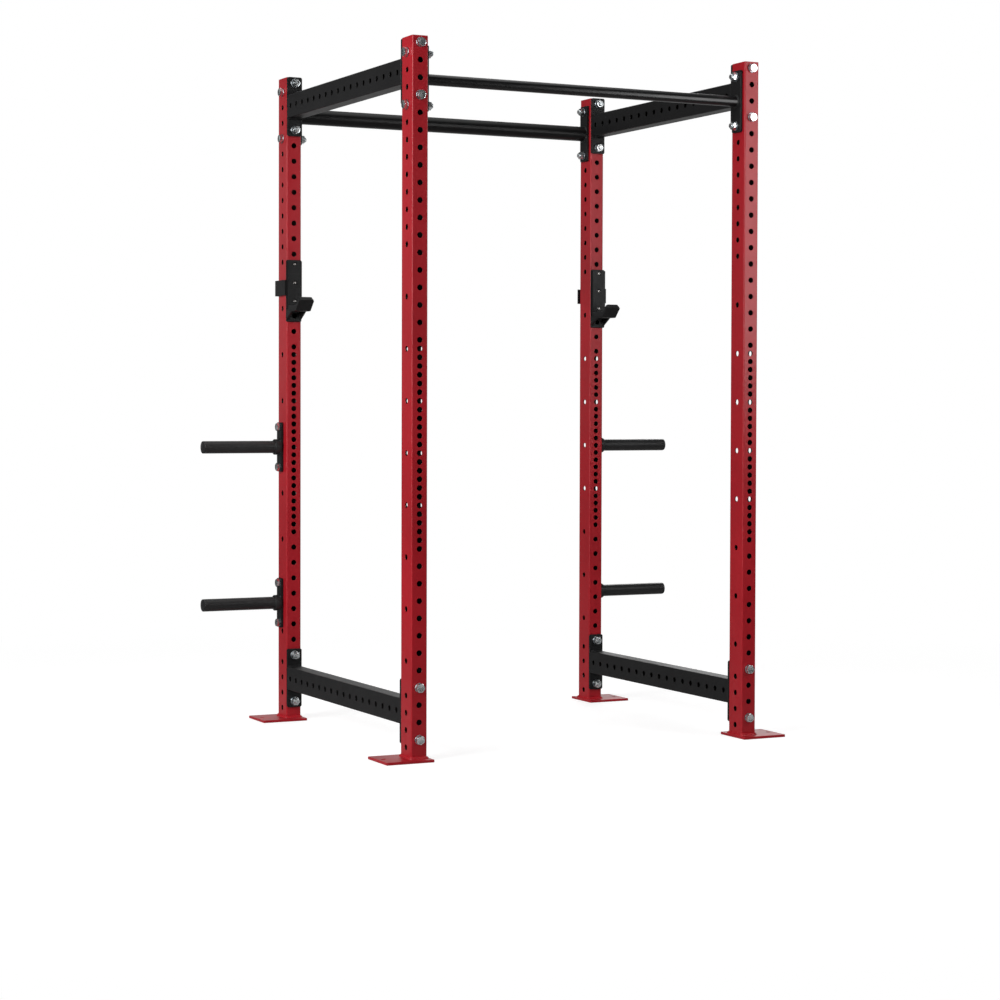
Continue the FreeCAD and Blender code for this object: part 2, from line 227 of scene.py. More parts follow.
def powder_coat(name, dark, light, rough, grain_scale, grain_depth, specular):
    """Baked powder paint: orange peel, fine grain, slow cloudiness and faint handling marks."""
    material, tree, shader, where = new_material(name)
    cloud = noise(tree, where, scale=3.5, detail=4.0)
    speck = noise(tree, where, scale=700.0, detail=2.0)
    smear = noise(tree, where, scale=22.0, detail=5.0, roughness=0.62)
    peel = noise(tree, where, scale=240.0, detail=2.0)
    grain = noise(tree, where, scale=grain_scale, detail=2.0, roughness=0.6)
    tone = multiply_add(tree, speck, 0.35, cloud)
    connect(tree, shader, Base_Color=ramp(tree, tone, [(0.40, dark), (0.95, light)]),
            Roughness=spread(tree, smear, *rough), Specular_IOR_Level=specular)
    bump(tree, shader, [(peel, 0.00012, 0.35), (grain, grain_depth, 0.5)])
    return material


def zinc(name, dark, middle, light, rough):
    """Zinc plate: crystalline tone patches, brushed micro scratches, a cold tint."""
    material, tree, shader, where = new_material(name)
    patches = node(tree, "ShaderNodeTexVoronoi", Vector=where, Scale=300.0).outputs["Distance"]
    cloud = noise(tree, where, scale=90.0)
    scratch = noise(tree, where, scale=1500.0, detail=2.0)
    tone = multiply_add(tree, patches, 0.70, cloud)
    connect(tree, shader, Base_Color=ramp(tree, tone, [(0.42, dark), (0.68, middle), (0.94, light)]),
            Roughness=spread(tree, cloud, *rough), Metallic=1.0)
    bump(tree, shader, [(scratch, 0.00003, 0.4), (cloud, 0.0002, 0.15)])
    return material


def plastic(name, dark, light, rough, scuff):
    """Moulded black plastic with a fine spark texture and rubbed, slightly greyer streaks across it."""
    material, tree, shader, where = new_material(name)
    across = node(tree, "ShaderNodeMapping", Vector=where, Scale=(0.08, 1.0, 1.0)).outputs["Vector"]
    streak = noise(tree, across, scale=260.0, detail=4.0, roughness=0.6)
    grain = noise(tree, where, scale=1600.0, detail=2.0)
    connect(tree, shader, Base_Color=ramp(tree, streak, [(0.45, dark), (0.80, light)]),
            Roughness=spread(tree, streak, *rough), Specular_IOR_Level=0.28)
    bump(tree, shader, [(grain, 0.00006, 0.45), (streak, 0.00008, scuff)])
    return material


def steel(name):
    """Unpainted or barely painted steel inside tubes: dull, mill-scaled, and painted nearly black as painted shade."""
    material, tree, shader, where = new_material(name)
    scale = noise(tree, where, scale=60.0, detail=6.0, roughness=0.65)
    colour = ramp(tree, scale, [(0.35, (0.005, 0.0045, 0.0045)), (0.75, (0.014, 0.012, 0.0115))])
    connect(tree, shader, Base_Color=colour, Roughness=spread(tree, scale, 0.55, 0.8), Metallic=0.6)
    bump(tree, shader, [(scale, 0.0003, 0.4)])
    return material


# Dark and light colour, roughness range, grain scale, grain depth in metres, specular level
RED = powder_coat("red_powder_coat", (0.320, 0.0060, 0.0120), (0.430, 0.0095, 0.018),
                  (0.30, 0.42), 1500.0, 0.00005, 0.35)
BLACK = powder_coat("black_powder_coat", (0.0042, 0.0042, 0.0046), (0.0090, 0.0090, 0.0094),
                    (0.42, 0.56), 1100.0, 0.00012, 0.28)
# Front pull-up bar: the black coat made glossier, its colour also darkened as painted shade.
FRONT_BAR_GLOSSY_SHADED = powder_coat("front_bar_glossy_coat_painted_shade", (0.0030, 0.0030, 0.0034), (0.0065, 0.0065, 0.0069),
                        (0.26, 0.37), 1100.0, 0.00006, 0.44)
# Rear pull-up bar: the same black coat painted darker, as painted shade.
REAR_BAR_PAINTED_SHADE = powder_coat("rear_bar_powder_coat_painted_shade", (0.0022, 0.0022, 0.0024), (0.0048, 0.0048, 0.0050),
                       (0.30, 0.42), 1100.0, 0.00006, 0.28)
# Pegs and stop collars: the same black coat painted lighter, as painted light.
PEG_PAINTED_LIGHT = powder_coat("peg_powder_coat_painted_light", (0.0100, 0.0100, 0.0104), (0.0190, 0.0190, 0.0195),
                  (0.34, 0.48), 1100.0, 0.00008, 0.42)
# Dark and light colour, roughness range, strength of the scuffed bump
LINER = plastic("black_liner_plastic", (0.007, 0.007, 0.0074), (0.018, 0.018, 0.0188), (0.40, 0.55), 0.5)
CAP = plastic("black_cap_plastic", (0.015, 0.015, 0.016), (0.030, 0.030, 0.030), (0.36, 0.48), 0.3)
# Dark, middle and light colour, roughness range
ZINC = zinc("zinc_plate", (0.32, 0.39, 0.44), (0.63, 0.69, 0.72), (0.90, 0.92, 0.92), (0.20, 0.34))
# Washers: the same zinc plate, painted darker as painted shade between nut, washer and plate.
WASHER_PAINTED_SHADE = zinc("washer_zinc_plate_painted_shade", (0.20, 0.23, 0.26), (0.31, 0.34, 0.37), (0.46, 0.49, 0.51), (0.24, 0.38))
SCREW = zinc("dull_zinc_plate", (0.20, 0.19, 0.185), (0.31, 0.30, 0.29), (0.42, 0.405, 0.39), (0.19, 0.29))
# Tube bores and hole walls: nearly black steel as painted shade, where little light gets in.
INSIDE_PAINTED_SHADE = steel("tube_interior_painted_shade")
STEEL = steel("plain_steel")
SLOT_OF = {"red_powder_coat": RED, "black_powder_coat": BLACK, "black_liner_plastic": LINER,
           "black_cap_plastic": CAP, "zinc_plate": ZINC, "plain_steel": STEEL}


# ---------------------------------------------------------------- mesh tools

def add_object(name, data):
    made = bpy.data.objects.new(name, data)
    bpy.context.scene.collection.objects.link(made)
    return made


def put(name, bm, materials, body, replaces=(), bevel=0.0, angle=SMOOTH_ANGLE):
    """Turn a bmesh into a finished piece riding on a body."""
    bmesh.ops.remove_doubles(bm, verts=bm.verts, dist=1e-7)
    bmesh.ops.recalc_face_normals(bm, faces=bm.faces)
    mesh = bpy.data.meshes.new(name)
    bm.to_mesh(mesh)
    bm.free()
    mesh.shade_smooth()
    mesh.set_sharp_from_angle(angle=angle)
    for material in materials:
        mesh.materials.append(material)
    made = add_object(name, mesh)
    if bevel:
        rounding = made.modifiers.new("edge_rounding", "BEVEL")
        rounding.width = bevel
        rounding.segments = 2
        rounding.limit_method = "ANGLE"
        rounding.angle_limit = SMOOTH_ANGLE
        rounding.harden_normals = False
    keep = made.modifiers.new("flat_faces", "WEIGHTED_NORMAL")
    keep.keep_sharp = True
    keep.weight = 100
    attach(made, body)
    if replaces:
        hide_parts(*replaces)


def centre_and_half(name):
    """Middle and half size of a CAD node's box."""
    low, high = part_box(name)
    return (low + high) / 2, (high - low) / 2


def x_span(name):
    """Nearest and farthest distance of a CAD node from the plane X = 0."""
    low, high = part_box(name)
    return sorted((abs(low.x), abs(high.x)))


def islands(name):
    """The separate solids of a CAD node, as arrays of points."""
    mesh = frame["nodes"][name].data
    points = np.array([v.co[:] for v in mesh.vertices])
    keys = {}
    spot = [keys.setdefault(tuple(k), len(keys)) for k in np.round(points * 1e6).astype(int)]
    parent = list(range(len(keys)))

    def find(i):
        while parent[i] != i:
            parent[i] = parent[parent[i]]
            i = parent[i]
        return i

    for polygon in mesh.polygons:
        first = find(spot[polygon.vertices[0]])
        for v in polygon.vertices[1:]:
            parent[find(spot[v])] = first
    groups = {}
    for i, s in enumerate(spot):
        groups.setdefault(find(s), []).append(i)
    solids = [points[g] for g in groups.values()]
    return sorted(solids, key=lambda p: tuple(np.round(p.mean(0), 4)))


def placed(origin, direction, turn=0.0):
    """Matrix that carries local Z onto a direction."""
    spin = Vector(direction).normalized().to_track_quat("Z", "Y").to_matrix().to_4x4()
    return Matrix.Translation(origin) @ spin @ Matrix.Rotation(turn, 4, "Z")


def axes(x_dir, y_dir, origin):
    """Matrix whose local X and Y are the given directions."""
    made = Matrix((x_dir, y_dir, x_dir.cross(y_dir))).transposed().to_4x4()
    made.translation = Vector(origin)
    return made


def hex_radius(flats, angle):
    return flats / 2 / math.cos((angle % (TAU / 6)) - TAU / 12)


def turned(bm, rings, matrix, segments=36, closed=False):
    """Skin a stack of rings. A ring is (radius, z) or a function of the angle that gives them; radius 0 is a point."""
    rows = []
    for ring in rings:
        if not callable(ring) and ring[0] == 0:
            rows.append([bm.verts.new(matrix @ Vector((0, 0, ring[1])))])
            continue
        row = []
        for i in range(segments):
            a = TAU * i / segments
            r, z = ring(a) if callable(ring) else ring
            row.append(bm.verts.new(matrix @ Vector((r * math.cos(a), r * math.sin(a), z))))
        rows.append(row)
    pairs = list(zip(rows, rows[1:])) + ([(rows[-1], rows[0])] if closed else [])
    for low, high in pairs:
        for i in range(segments):
            j = (i + 1) % segments
            corners = [low[i % len(low)], low[j % len(low)], high[j % len(high)], high[i % len(high)]]
            unique = list(dict.fromkeys(corners))
            if len(unique) > 2:
                bm.faces.new(unique)


def flat_slab(bm, outline, holes, depth, bevel, matrix):
    """A plate from a flat outline and round holes, with rounded edges, its thickness centred on local Z = 0."""
    curve = bpy.data.curves.new("outline", "CURVE")
    curve.dimensions, curve.fill_mode = "2D", "BOTH"
    loops = [outline]
    for x, y, r in holes:
        turns = [TAU * i / SLAB_HOLE_STEPS for i in range(SLAB_HOLE_STEPS)]
        loops.append([(x + r * math.cos(a), y + r * math.sin(a)) for a in turns])
    for points in loops:
        spline = curve.splines.new("POLY")
        spline.points.add(len(points) - 1)
        for p, (x, y) in zip(spline.points, points):
            p.co = (x, y, 0, 1)
        spline.use_cyclic_u = True
    curve.extrude = depth / 2 - bevel
    curve.bevel_depth, curve.offset, curve.bevel_resolution = bevel, -bevel, 1
    holder = bpy.data.objects.new("outline", curve)
    mesh = bpy.data.meshes.new_from_object(holder)
    mesh.transform(matrix)
    bm.from_mesh(mesh)
    bpy.data.objects.remove(holder)
    bpy.data.curves.remove(curve)
    bpy.data.meshes.remove(mesh)


def rounded_outline(half_x, half_y, radius, steps=OUTLINE_STEPS):
    """Rounded rectangle about the origin, starting at the +X+Y corner."""
    points = []
    for sx, sy, a0 in ((1, 1, 0), (-1, 1, 90), (-1, -1, 180), (1, -1, 270)):
        for i in range(steps + 1):
            a = math.radians(a0 + 90 * i / steps)
            points.append((sx * (half_x - radius) + radius * math.cos(a),
                           sy * (half_y - radius) + radius * math.sin(a)))
    return points


def section(half_x, half_y, inset=0):
    """Loop round a tube's section, pulled in by an inset."""
    return rounded_outline(half_x - inset, half_y - inset, max(CORNER_R - inset, 0.3 * MM), CORNER_STEPS)


def drilled_tube(bm, half_x, half_y, levels, drilled, matrix):
    """Rectangular tube along local Z. drilled[side] holds the cells with a hole; sides run +Y, -X, -Y, +X.

    The bore and the holes' walls take the second material, a nearly black steel that is painted shade."""
    per = CORNER_STEPS + 1
    outer_loop = section(half_x, half_y)
    inner_loop = section(half_x, half_y, WALL)

    def row(loop, z):
        return [bm.verts.new(matrix @ Vector((x, y, z))) for x, y in loop]

    outer = [row(outer_loop, z) for z in levels]
    inner = [row(inner_loop, z) for z in levels]
    count = len(outer_loop)
    for k in range(len(levels) - 1):
        for i in range(count):
            j = (i + 1) % count
            side, last = divmod(i, per)
            if last == per - 1 and k in drilled[side]:
                continue
            bm.faces.new((outer[k][i], outer[k][j], outer[k + 1][j], outer[k + 1][i]))
            bm.faces.new((inner[k][j], inner[k][i], inner[k + 1][i], inner[k + 1][j])).material_index = 1
    for side, cells in enumerate(drilled):
        i = side * per + per - 1
        j = (i + 1) % count
        a, b = Vector((*outer_loop[i], 0)), Vector((*outer_loop[j], 0))
        along = (b - a).normalized()
        middle = (a + b) / 2
        inward = Vector((-along.y, along.x, 0))
        if inward.dot(middle) > 0:
            inward = -inward

        def circle(z, r, deep):
            ring = []
            for s in range(HOLE_STEPS):
                t = TAU * s / HOLE_STEPS + TAU / 8
                p = middle + along * (r * math.cos(t)) + inward * deep + Vector((0, 0, z + r * math.sin(t)))
                ring.append(bm.verts.new(matrix @ p))
            return ring

        for k in cells:
            z = (levels[k] + levels[k + 1]) / 2
            # The chamfer keeps the coat; the hole's wall takes the bore's nearly black painted shade.
            rings = [circle(z, HOLE_R + HOLE_CHAMFER, 0), circle(z, HOLE_R, HOLE_CHAMFER), circle(z, HOLE_R, WALL)]
            for near, far, inside in ((rings[0], rings[1], 0), (rings[1], rings[2], 1)):
                for s in range(HOLE_STEPS):
                    t = (s + 1) % HOLE_STEPS
                    bm.faces.new((near[s], near[t], far[t], far[s])).material_index = inside
            quarter = HOLE_STEPS // 4
            half = quarter // 2
            for ring, rows, inside in ((rings[0], outer, 0), (rings[2], inner, 1)):
                corners = [rows[k + 1][j], rows[k + 1][i], rows[k][i], rows[k][j]]
                for q, nearest in enumerate(corners):
                    for s in range(q * quarter - half, q * quarter + half):
                        pair = ring[s % HOLE_STEPS], ring[(s + 1) % HOLE_STEPS]
                        bm.faces.new((nearest, *pair)).material_index = inside
                    edge = ring[(q * quarter + half) % HOLE_STEPS]
                    bm.faces.new((nearest, edge, corners[(q + 1) % 4])).material_index = inside
    for end, out in ((-1, 1), (0, -1)):
        z = levels[end] + out * END_LIP
        rim_out = row(section(half_x, half_y, END_LIP), z)
        rim_in = row(section(half_x, half_y, WALL - END_LIP), z)
        for i in range(count):
            j = (i + 1) % count
            bm.faces.new((outer[end][i], outer[end][j], rim_out[j], rim_out[i]))
            bm.faces.new((rim_out[i], rim_out[j], rim_in[j], rim_in[i]))
            bm.faces.new((rim_in[i], rim_in[j], inner[end][j], inner[end][i]))


WELD_PITCH = 3.2 * MM
WELD_SAMPLES = 5
WELD_STEPS = 5
WELD_SINK = 0.4 * MM
WELD_TOE_SINK = 0.3 * MM
WELD_RIPPLE, WELD_RIPPLE_LAG = 0.055, 0.30
WELD_ROUNDNESS = 0.45
WELD_END_SIZE, WELD_END_LENGTH = 0.35, 1.2


def weld(bm, points, outs, normal, leg, closed, phase=0.0):
    """A rippled fillet weld in the corner between a plate (normal) and a wall (outs, one direction a point).

    leg is the weld's leg, or one for each point; an open weld tapers at its ends."""
    spots = [Vector(p) for p in points]
    lengths = [0.0]
    for a, b in zip(spots, spots[1:] + spots[:1]):
        lengths.append(lengths[-1] + (b - a).length)
    total = lengths[-1] if closed else lengths[-2]
    samples = max(1, round(total / WELD_PITCH)) * WELD_SAMPLES
    rows = []
    for s in range(samples + (0 if closed else 1)):
        d = total * s / samples
        k = min(max(i for i in range(len(lengths) - 1) if lengths[i] <= d + 1e-12), len(spots) - 1)
        after = (k + 1) % len(spots)
        if not closed and k == len(spots) - 1:
            k, after = k - 1, k
        span = (spots[after] - spots[k]).length
        f = min(1.0, (d - lengths[k]) / span) if span > 0 else 0.0
        base = spots[k].lerp(spots[after], f)
        out = Vector(outs[k]).lerp(Vector(outs[after]), f).normalized()
        size = (leg[k] * (1 - f) + leg[after] * f) if isinstance(leg, list) else leg
        if not closed:
            reached = math.sqrt(max(0.0, min(d, total - d)) / (WELD_END_LENGTH * leg))
            size *= min(1.0, WELD_END_SIZE + (1 - WELD_END_SIZE) * reached)
        wander = (1 + 0.05 * math.sin(2.1 * d / WELD_PITCH * 0.37 + phase)
                  + 0.03 * math.sin(d / WELD_PITCH * 1.7 + 2 * phase))
        row = [bm.verts.new(base - out * WELD_SINK - normal * WELD_SINK)]
        for t in range(WELD_STEPS + 1):
            u = t / WELD_STEPS
            lag = WELD_RIPPLE_LAG * (1 - (2 * u - 1) ** 2)
            ripple = 1 + WELD_RIPPLE * math.sin(TAU * (s / WELD_SAMPLES - lag))
            straight, rounded = (1 - u, u), (math.cos(u * QUARTER), math.sin(u * QUARTER))
            x, z = (straight[i] * (1 - WELD_ROUNDNESS) + rounded[i] * WELD_ROUNDNESS for i in (0, 1))
            reach = size * wander * (ripple if 0 < t < WELD_STEPS else 1)
            row.append(bm.verts.new(base + out * (x * reach - (WELD_TOE_SINK if t == WELD_STEPS else 0))
                                    + normal * (z * reach - (WELD_TOE_SINK if t == 0 else 0))))
        rows.append(row)
    pairs = list(zip(rows, rows[1:])) + ([(rows[-1], rows[0])] if closed else [])
    for low, high in pairs:
        for i in range(len(low)):
            j = (i + 1) % len(low)
            bm.faces.new((low[i], low[j], high[j], high[i]))
    if not closed:
        bm.faces.new(rows[0])
        bm.faces.new(rows[-1])


# ---------------------------------------------------------------- uprights and rails

for end_name, end in ENDS.items():
    for side_name, side in SIDES.items():
        name = f"upright_{end_name}_{side_name}"
        centre, half = centre_and_half(name)
        low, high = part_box(name)
        levels = [low.z + END_LIP] + [FIRST_LEVEL + k * STEP for k in range(LEVELS + 1)] + [high.z - END_LIP]
        face = {n + 2 for n in FACE_HOLES}
        across = {n + 1 for n in SIDE_HOLES}
        closed = {CLOSED_SIDE_HOLE + 1} if end > 0 else set()
        outer_side = across - closed
        minus_x, plus_x = (across, outer_side) if side > 0 else (outer_side, across)
        bm = bmesh.new()
        drilled_tube(bm, half.x, half.y, levels, [face, minus_x, face, plus_x],
                     Matrix.Translation((centre.x, centre.y, 0)))
        put(f"{name}_drilled_tube", bm, [RED, INSIDE_PAINTED_SHADE], "frame", (name,))

for tier in TIERS:
    for side_name in SIDES:
        name = f"{tier}_side_rail_{side_name}"
        centre, half = centre_and_half(name)
        levels = [-half.y + END_LIP]
        first = -(RAIL_HOLES - 1) / 2 * 2 * STEP
        cells = set()
        for i in range(RAIL_HOLES):
            middle = first + i * 2 * STEP
            levels += [middle - STEP / 2, middle + STEP / 2]
            cells.add(len(levels) - 2)
        levels.append(half.y - END_LIP)
        bm = bmesh.new()
        drilled_tube(bm, half.x, half.z, levels, [set(), cells, set(), cells],
                     Matrix.Translation(centre) @ Matrix.Rotation(-QUARTER, 4, "X"))
        put(f"{name}_drilled_tube", bm, [BLACK, INSIDE_PAINTED_SHADE], "frame", (name,))


# ---------------------------------------------------------------- plates

def wall_plate(name, normal_axis, hole_offset):
    """A thin upright plate facing along X or Y with two bolt holes."""
    centre, half = centre_and_half(name)
    if normal_axis == "Y":
        wide, thick, matrix = half.x, half.y, axes(X, Z, centre)
    else:
        wide, thick, matrix = half.y, half.x, axes(Y, Z, centre)
    holes = [(0, s * hole_offset, HOLE_R) for s in (-1, 1)]
    bm = bmesh.new()
    flat_slab(bm, rounded_outline(wide, half.z, PLATE_CORNER_R), holes, 2 * thick, PLATE_BEVEL, matrix)
    put(f"{name}_bevelled", bm, [BLACK], "frame", (name,))


for end_name in ENDS:
    for side_name, side in SIDES.items():
        place = f"{end_name}_{side_name}"
        wall_plate(f"upper_rail_plate_{place}", "Y", BOLT_OFFSET)
        wall_plate(f"lower_rail_plate_{place}", "Y", BOLT_OFFSET)
        wall_plate(f"pullup_plate_{place}", "X", BOLT_OFFSET)
        name = f"foot_plate_{place}"
        low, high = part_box(name)
        centre, half = centre_and_half(name)
        anchor = (high.x if side > 0 else low.x) - side * ANCHOR_EDGE - centre.x
        bm = bmesh.new()
        flat_slab(bm, rounded_outline(half.x, half.y, FOOT_CORNER_R), [(anchor, 0, ANCHOR_R)],
                  2 * half.z, FOOT_BEVEL, Matrix.Translation(centre))
        put(f"{name}_bevelled", bm, [RED], "frame", (name,))

for tier in TIERS:
    for side_name in SIDES:
        wall_plate(f"{tier}_peg_plate_{side_name}", "X", PEG_BOLT_OFFSET)


# ---------------------------------------------------------------- fasteners

def hex_ring(z_of):
    """A six-sided ring whose height depends on its radius."""
    def ring(a):
        r = hex_radius(HEX_FLATS, a)
        return r, z_of(max(0.0, r - HEX_FACE_R) * HEX_SLOPE)
    return ring


def bolt_rings(length):
    """Ring stack of a hex bolt: the head's top is at +BOLT_HEAD, the seat at 0, and the tip at -length."""
    tip = -length
    root_r = BOLT_SHANK_R - 1.0 * MM
    seat_r = HEX_FLATS / 2 * 0.95
    rings = [(0, BOLT_HEAD - 0.5 * MM), (HEX_FACE_R * 0.72, BOLT_HEAD - 0.45 * MM),
             (HEX_FACE_R * 0.82, BOLT_HEAD - 0.05 * MM), (HEX_FACE_R, BOLT_HEAD),
             hex_ring(lambda fall: BOLT_HEAD - fall), hex_ring(lambda fall: 0.9 * MM),
             lambda a: (hex_radius(HEX_FLATS, a) - 0.3 * MM, 0.6 * MM),
             (seat_r, 0.55 * MM), (seat_r, 0), (BOLT_SHANK_R, 0), (BOLT_SHANK_R, tip + BOLT_THREADED)]
    z = tip + BOLT_THREADED
    while z - BOLT_PITCH > tip + 0.6 * MM:
        rings += [(root_r, z - BOLT_PITCH * 0.30), (root_r, z - BOLT_PITCH * 0.45),
                  (BOLT_SHANK_R, z - BOLT_PITCH * 0.80), (BOLT_SHANK_R, z - BOLT_PITCH)]
        z -= BOLT_PITCH
    return rings + [(BOLT_SHANK_R - 1.1 * MM, tip), (0, tip)]


def nut_rings():
    wide = NUT_BORE_R + 0.9 * MM
    return [(HEX_FACE_R, 0), hex_ring(lambda rise: rise), hex_ring(lambda fall: NUT_HEIGHT - fall),
            (HEX_FACE_R, NUT_HEIGHT), (wide, NUT_HEIGHT), (NUT_BORE_R, NUT_HEIGHT - 0.9 * MM),
            (NUT_BORE_R, 0.9 * MM), (wide, 0)]


def washer_rings():
    b = 0.45 * MM
    return [(WASHER_R - b, 0), (WASHER_R, b), (WASHER_R, WASHER_T - b), (WASHER_R - b, WASHER_T),
            (WASHER_BORE_R + b, WASHER_T), (WASHER_BORE_R, WASHER_T - b), (WASHER_BORE_R, b), (WASHER_BORE_R + b, 0)]


def unit_along(axis, sign=1):
    made = Vector((0, 0, 0))
    made[axis] = sign
    return made


def bolt_places(name):
    """Every bolt of a CAD node: (middle of the head's top, direction out of the head, overall length)."""
    found = []
    for points in islands(name):
        low, high = points.min(0), points.max(0)
        size = high - low
        axis = int(np.argmax(size))
        across = [i for i in range(3) if i != axis]
        width_at = {}
        for sign, edge in ((-1, low[axis]), (1, high[axis])):
            near = points[np.abs(points[:, axis] - edge) < 1.5 * MM]
            width_at[sign] = max(np.ptp(near[:, i]) for i in across)
        sign = 1 if width_at[1] > width_at[-1] else -1
        top = Vector((low + high) / 2)
        top[axis] = high[axis] if sign > 0 else low[axis]
        found.append((top, unit_along(axis, sign), float(size[axis])))
    return found


for name, piece in (("frame_bolts", "frame_hex_bolts"), ("peg_bolts", "peg_hex_bolts")):
    bm = bmesh.new()
    for i, (top, out, length) in enumerate(bolt_places(name)):
        turn = math.radians((i * 23) % 60)
        turned(bm, bolt_rings(length - BOLT_HEAD), placed(top - out * BOLT_HEAD, out, turn))
    put(piece, bm, [ZINC], "frame", (name,))

for name, piece, rings, segments, finish in (("frame_nuts", "frame_hex_nuts", nut_rings(), 36, ZINC),
                                             # The washers take the darker zinc, which is painted shade.
                                             ("washers", "flat_washers", washer_rings(), 40, WASHER_PAINTED_SHADE)):
    bm = bmesh.new()
    for i, points in enumerate(islands(name)):
        low, high = points.min(0), points.max(0)
        axis = int(np.argmin(high - low))
        base = Vector((low + high) / 2)
        base[axis] = low[axis]
        turn = math.radians((i * 17) % 60)
        turned(bm, rings, placed(base, unit_along(axis), turn), segments, closed=True)
    put(piece, bm, [finish], "frame", (name,))


# ---------------------------------------------------------------- welds

FOOT_WELD, RAIL_WELD, PEG_WELD, COLLAR_WELD = 7 * MM, 5 * MM, 3.5 * MM, 4 * MM
PULLUP_PLATE_HALF = 25 * MM


def tube_path(centre, half_x, half_y):
    """Closed loop round a tube in a level plane, with its outward directions."""
    points, outs = [], []
    for u, v in section(half_x, half_y):
        points.append(Vector(centre) + X * u + Y * v)
        cx = math.copysign(half_x - CORNER_R, u)
        cy = math.copysign(half_y - CORNER_R, v)
        outs.append((X * (u - cx) + Y * (v - cy)).normalized())
    return points, outs


def round_path(centre, radius, angles, up=1):
    """Points round a circle that faces along X, with their outward directions."""
    outs = [Y * math.cos(a) + Z * math.sin(a) * up for a in angles]
    return [centre + out * radius for out in outs], outs


bm = bmesh.new()
for i, end_name in enumerate(ENDS):
    for side_name, side in SIDES.items():
        centre, half = centre_and_half(f"upright_{end_name}_{side_name}")
        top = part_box(f"foot_plate_{end_name}_{side_name}")[1].z
        points, outs = tube_path((centre.x, centre.y, top), half.x, half.y)
        weld(bm, points, outs, Z, FOOT_WELD, True, phase=i + side)
put("foot_welds", bm, [RED], "frame", angle=WELD_ANGLE)

bm = bmesh.new()
for tier in TIERS:
    for side_name in SIDES:
        centre, half = centre_and_half(f"{tier}_side_rail_{side_name}")
        for end in (-1, 1):
            for up in (-1, 1):
                line = [Vector((centre.x + u * (half.x - CORNER_R), centre.y + end * half.y, centre.z + up * half.z))
                        for u in (-1, 1)]
                weld(bm, line, [Z * up] * 2, Y * -end, RAIL_WELD, False, phase=up + end)
for end_name in ENDS:
    centre, half = centre_and_half(f"{end_name}_pullup_bar")
    for side in (-1, 1):
        angles = [TAU * i / 48 for i in range(48)]
        points, outs = round_path(Vector((centre.x + side * half.x, centre.y, centre.z)), half.z, angles)
        legs = []
        for a in angles:
            room = (PULLUP_PLATE_HALF - half.z * abs(math.cos(a))) / max(abs(math.cos(a)), 0.05)
            legs.append(min(RAIL_WELD, max(0.5 * MM, room)))
        weld(bm, points, outs, X * -side, legs, True, phase=side)
put("rail_and_bar_welds", bm, [BLACK], "frame", angle=WELD_ANGLE)


# ---------------------------------------------------------------- pull-up bars and pegs

# The bars' coats are copies of the black coat, darkened as painted shade.
for end_name, coat in (("front", FRONT_BAR_GLOSSY_SHADED), ("rear", REAR_BAR_PAINTED_SHADE)):
    name = f"{end_name}_pullup_bar"
    centre, half = centre_and_half(name)
    r, length = half.z, 2 * half.x
    bm = bmesh.new()
    turned(bm, [(r, 0), (r, length), (r - WALL, length), (r - WALL, 0)],
           placed((centre.x - half.x, centre.y, centre.z), X), 72, closed=True)
    put(f"{name}_tube", bm, [coat], "frame", (name,))


def collar_rings():
    c = COLLAR_BEVEL
    return [(0, 0), (COLLAR_R, 0), (COLLAR_R, COLLAR_T - c), (COLLAR_R - c * 0.3, COLLAR_T - c * 0.3),
            (COLLAR_R - c, COLLAR_T), (0, COLLAR_T)]


def cap_rings():
    """A plug inside the tube, a lip on its rim at 0, and a dome with a small moulding mark."""
    rings = [(0, -20 * MM), (14 * MM, -20 * MM), (16.6 * MM, -19 * MM), (17 * MM, 0), (CAP_R - 0.4 * MM, 0),
             (CAP_R, 0.4 * MM), (CAP_R, CAP_LIP_T)]
    for i in range(1, 9):
        a = i / 9 * QUARTER
        rings.append((CAP_R * math.cos(a), CAP_LIP_T + (CAP_DOME - 0.05 * MM) * math.sin(a) ** 0.9))
    top = CAP_LIP_T + CAP_DOME
    return rings + [(2.2 * MM, top - 0.1 * MM), (1.6 * MM, top - 0.7 * MM), (0, top - 0.8 * MM)]


bm_collar, bm_cap, bm_weld = bmesh.new(), bmesh.new(), bmesh.new()
for tier in TIERS:
    for side_name, side in SIDES.items():
        name = f"{tier}_peg_tube_{side_name}"
        low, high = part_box(name)
        centre, half = centre_and_half(name)
        r, length = half.z, 2 * half.x
        root = Vector((low.x if side > 0 else high.x, centre.y, centre.z))
        bm = bmesh.new()
        b = 0.5 * MM
        turned(bm, [(r - b, 0), (r, b), (r, length - b), (r - b, length), (r - WALL, length), (r - WALL, 0)],
               placed(root, X * side), 64, closed=True)
        # The peg tube takes the lighter coat, which is painted light.
        put(f"{name}_bevelled", bm, [PEG_PAINTED_LIGHT], "frame", (name,))
        base = root - X * side * COLLAR_T
        turned(bm_collar, collar_rings(), placed(base, X * side), 64)
        turned(bm_cap, cap_rings(), placed(root + X * side * length, X * side), 64)
        weld(bm_weld, *round_path(root, r, [TAU * i / 40 for i in range(40)]), X * side, PEG_WELD, True, phase=side)
        for up in (-1, 1):
            bead = [math.radians(44 + 92 * i / 12) for i in range(13)]
            weld(bm_weld, *round_path(base, COLLAR_R, bead, up), X * side, COLLAR_WELD, False, phase=up)
put("peg_stop_collars", bm_collar, [PEG_PAINTED_LIGHT], "frame", ("peg_collars",))
put("peg_domed_caps", bm_cap, [CAP], "frame", ("peg_end_caps",))
put("peg_welds", bm_weld, [BLACK], "frame", angle=WELD_ANGLE)


# ---------------------------------------------------------------- barbell cups

